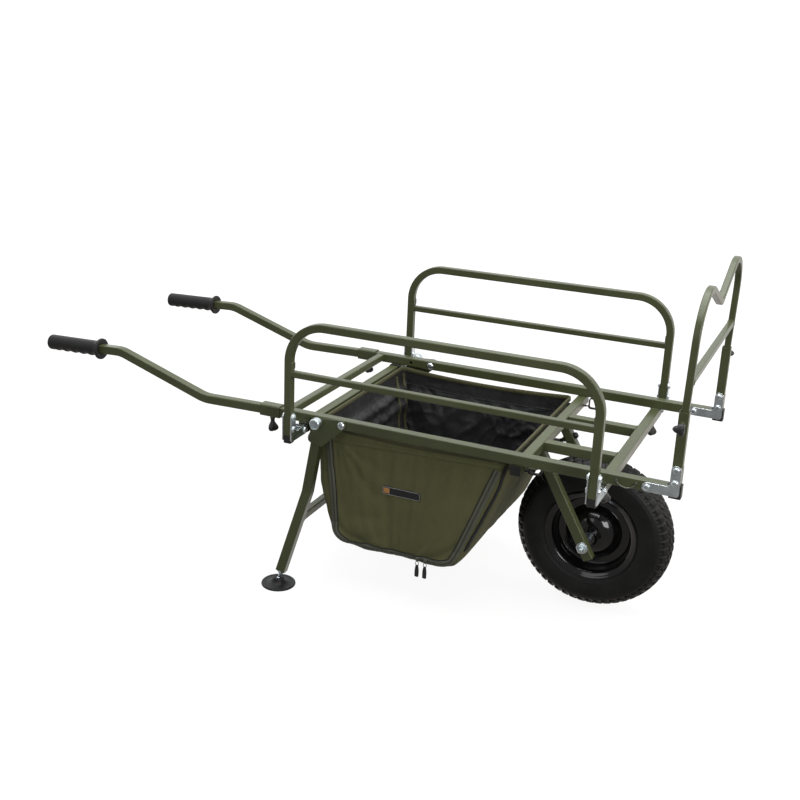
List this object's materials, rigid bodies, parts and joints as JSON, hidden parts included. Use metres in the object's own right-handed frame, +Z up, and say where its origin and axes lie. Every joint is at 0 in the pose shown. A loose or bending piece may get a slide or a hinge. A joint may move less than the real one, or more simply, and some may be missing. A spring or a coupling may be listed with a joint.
{
  "type": "game cart",
  "caption": "One-wheeled field barrow: square steel tube bed, fold-down side and front gates, folding leg frame and a hanging fabric bag.",
  "frame": {"origin": "on the ground under the middle of the cart's length", "axes": "+X towards the wheel and the front gate, +Y to the left of a person pushing, +Z up"},
  "size_m": [1.7367, 0.758, 0.9039],
  "materials": {
    "olive_paint": "satin olive powder coat on steel tube",
    "black_plastic": "moulded black plastic",
    "zinc_steel": "bright zinc plated steel",
    "bearing_steel": "ground bearing steel with dark shields",
    "gloss_black_paint": "gloss black paint on pressed steel",
    "tyre_rubber": "black tyre rubber with a shallow tread",
    "soft_rubber": "soft black rubber",
    "grip_rubber": "matt black grip rubber",
    "olive_fabric": "coated olive polyester with a black lining",
    "black_webbing": "black woven webbing",
    "badge_rubber": "black moulded patch with a plain tan square",
    "dark_metal": "dark nickel die casting",
    "zip_tab": "black moulded pull tab on a wire loop"
  },
  "bodies": {
    "frame": {"side_rail_left": "olive_paint", "side_rail_right": "olive_paint", "rear_cross_bar": "olive_paint", "lower_cross_tube_rear": "olive_paint", "lower_cross_tube_middle": "olive_paint", "lower_cross_tube_front": "olive_paint", "wheel_rails": "olive_paint", "end_caps": "black_plastic", "tie_loops": "zinc_steel", "fork_arm_left": "olive_paint", "fork_arm_right": "olive_paint", "axle": "zinc_steel", "axle_fittings": "zinc_steel", "bag_shell": "olive_fabric", "bag_straps": "black_webbing", "badge": "badge_rubber"},
    "wheel": {"wheel_bearings": "bearing_steel", "hub": "gloss_black_paint", "rim": "gloss_black_paint", "tyre": "tyre_rubber", "inner_tube": "soft_rubber", "valve": "soft_rubber"},
    "leg_frame": {"leg_left": "olive_paint", "leg_right": "olive_paint", "leg_brace": "olive_paint", "leg_bolts": "zinc_steel"},
    "front_gate": {"front_posts": "olive_paint", "front_post_caps": "black_plastic", "front_brackets": "zinc_steel"},
    "front_raised_bar": {"front_bar": "olive_paint", "front_crossbar": "olive_paint"},
    "zip_carrier": {"zip_sliders": "dark_metal"},
    "foot_pad_left": {"foot_left": "black_plastic"},
    "locking_pin_left": {"release_plunger_left": "zinc_steel"},
    "gate_slide_left": {"gate_arms_left": "zinc_steel"},
    "gate_left": {"gate_frame_left": "olive_paint", "gate_caps_left": "black_plastic", "gate_brackets_left": "zinc_steel"},
    "handle_bar_left": {"handle_left": "olive_paint", "grip_left": "grip_rubber"},
    "handle_knob_left_screw": {"handle_knob_left": "black_plastic"},
    "front_knob_left_screw": {"front_knob_left": "black_plastic"},
    "gate_knob_rear_left_screw": {"gate_knob_rear_left": "black_plastic"},
    "gate_knob_front_left_screw": {"gate_knob_front_left": "black_plastic"},
    "fork_knob_left_screw": {"fork_knob_left": "black_plastic"},
    "foot_pad_right": {"foot_right": "black_plastic"},
    "locking_pin_right": {"release_plunger_right": "zinc_steel"},
    "gate_slide_right": {"gate_arms_right": "zinc_steel"},
    "gate_right": {"gate_frame_right": "olive_paint", "gate_caps_right": "black_plastic", "gate_brackets_right": "zinc_steel"},
    "handle_bar_right": {"handle_right": "olive_paint", "grip_right": "grip_rubber"},
    "handle_knob_right_screw": {"handle_knob_right": "black_plastic"},
    "front_knob_right_screw": {"front_knob_right": "black_plastic"},
    "gate_knob_rear_right_screw": {"gate_knob_rear_right": "black_plastic"},
    "gate_knob_front_right_screw": {"gate_knob_front_right": "black_plastic"},
    "fork_knob_right_screw": {"fork_knob_right": "black_plastic"},
    "zip_pull_rear": {"zip_puller_rear": "zip_tab"},
    "zip_pull_front": {"zip_puller_front": "zip_tab"}
  },
  "joints": [
    {"name": "wheel_spin", "type": "hinge", "parent": "frame", "child": "wheel", "pos_m": [0.625, 0, 0.2], "axis": [0, 1, 0], "continuous": true},
    {"name": "legs_fold", "type": "hinge", "parent": "frame", "child": "leg_frame", "pos_m": [0.045, 0, 0.4685], "axis": [0, -1, 0], "range_deg": [0, 100], "deforming": ["bag_shell"]},
    {"name": "bag_floor_lift", "type": "slide", "parent": "frame", "child": "zip_carrier", "axis": [0, 0, 1], "range_m": [0, 0.285]},
    {"name": "foot_left_tilt", "type": "hinge", "parent": "leg_frame", "child": "foot_pad_left", "pos_m": [-0.11879, 0.31534, 0.014], "axis": [0, 1, 0], "range_deg": [-12, 12]},
    {"name": "locking_pin_left_pull", "type": "slide", "parent": "leg_frame", "child": "locking_pin_left", "axis": [0, 1, 0], "range_m": [0, 0.008], "stiffness_N_per_m": 600, "springref_m": -0.004},
    {"name": "gate_left_slide", "type": "slide", "parent": "frame", "child": "gate_slide_left", "axis": [0, 1, 0], "range_m": [0, 0.06]},
    {"name": "gate_left_fold", "type": "hinge", "parent": "gate_slide_left", "child": "gate_left", "pos_m": [-0.063, 0.309, 0.4435], "axis": [1, 0, 0], "range_deg": [0, 90]},
    {"name": "handle_left_slide", "type": "slide", "parent": "frame", "child": "handle_bar_left", "axis": [-1, 0, 0], "range_m": [0, 0.03]},
    {"name": "handle_knob_left_turn", "type": "hinge", "parent": "handle_bar_left", "child": "handle_knob_left_screw", "pos_m": [-0.158, 0.283, 0.453], "axis": [0, 0, -1], "range_deg": [-180, 180]},
    {"name": "front_knob_left_turn", "type": "hinge", "parent": "front_gate", "child": "front_knob_left_screw", "pos_m": [0.853, 0.294, 0.623], "axis": [0, 1, 0], "range_deg": [-180, 180]},
    {"name": "gate_knob_rear_left_turn", "type": "hinge", "parent": "frame", "child": "gate_knob_rear_left_screw", "pos_m": [-0.063, 0.247, 0.431], "axis": [0, 0, -1], "range_deg": [-180, 180]},
    {"name": "gate_knob_front_left_turn", "type": "hinge", "parent": "frame", "child": "gate_knob_front_left_screw", "pos_m": [0.694, 0.247, 0.431], "axis": [0, 0, -1], "range_deg": [-180, 180]},
    {"name": "fork_knob_left_turn", "type": "hinge", "parent": "frame", "child": "fork_knob_left_screw", "pos_m": [0.51423, 0.105, 0.39534], "axis": [-0.8699, 0, -0.4933], "range_deg": [-180, 180]},
    {"name": "foot_right_tilt", "type": "hinge", "parent": "leg_frame", "child": "foot_pad_right", "pos_m": [-0.11879, -0.31534, 0.014], "axis": [0, 1, 0], "range_deg": [-12, 12]},
    {"name": "locking_pin_right_pull", "type": "slide", "parent": "leg_frame", "child": "locking_pin_right", "axis": [0, -1, 0], "range_m": [0, 0.008], "stiffness_N_per_m": 600, "springref_m": -0.004},
    {"name": "gate_right_slide", "type": "slide", "parent": "frame", "child": "gate_slide_right", "axis": [0, -1, 0], "range_m": [0, 0.06]},
    {"name": "gate_right_fold", "type": "hinge", "parent": "gate_slide_right", "child": "gate_right", "pos_m": [-0.063, -0.309, 0.4435], "axis": [-1, 0, 0], "range_deg": [0, 90]},
    {"name": "handle_right_slide", "type": "slide", "parent": "frame", "child": "handle_bar_right", "axis": [-1, 0, 0], "range_m": [0, 0.03]},
    {"name": "handle_knob_right_turn", "type": "hinge", "parent": "handle_bar_right", "child": "handle_knob_right_screw", "pos_m": [-0.158, -0.283, 0.453], "axis": [0, 0, -1], "range_deg": [-180, 180]},
    {"name": "front_knob_right_turn", "type": "hinge", "parent": "front_gate", "child": "front_knob_right_screw", "pos_m": [0.853, -0.294, 0.623], "axis": [0, -1, 0], "range_deg": [-180, 180]},
    {"name": "gate_knob_rear_right_turn", "type": "hinge", "parent": "frame", "child": "gate_knob_rear_right_screw", "pos_m": [-0.063, -0.247, 0.431], "axis": [0, 0, -1], "range_deg": [-180, 180]},
    {"name": "gate_knob_front_right_turn", "type": "hinge", "parent": "frame", "child": "gate_knob_front_right_screw", "pos_m": [0.694, -0.247, 0.431], "axis": [0, 0, -1], "range_deg": [-180, 180]},
    {"name": "fork_knob_right_turn", "type": "hinge", "parent": "frame", "child": "fork_knob_right_screw", "pos_m": [0.51423, -0.105, 0.39534], "axis": [-0.8699, 0, -0.4933], "range_deg": [-180, 180]},
    {"name": "front_gate_fold", "type": "hinge", "parent": "frame", "child": "front_gate", "pos_m": [0.794, 0, 0.4685], "axis": [0, -1, 0], "range_deg": [0, 90]},
    {"name": "front_bar_raise", "type": "slide", "parent": "front_gate", "child": "front_raised_bar", "axis": [0.0209, 0, 0.9998], "range_m": [0, 0.07]},
    {"name": "zip_pull_rear_swing", "type": "hinge", "parent": "zip_carrier", "child": "zip_pull_rear", "pos_m": [0.251, -0.2676, 0.1358], "axis": [1, 0, 0], "range_deg": [-35, 35]},
    {"name": "zip_pull_front_swing", "type": "hinge", "parent": "zip_carrier", "child": "zip_pull_front", "pos_m": [0.272, -0.2676, 0.1358], "axis": [1, 0, 0], "range_deg": [-35, 35]}
  ],
  "couplings": [
    {"joint": "bag_floor_lift", "follows": "legs_fold", "m_per_rad": 0.16215}
  ]
}
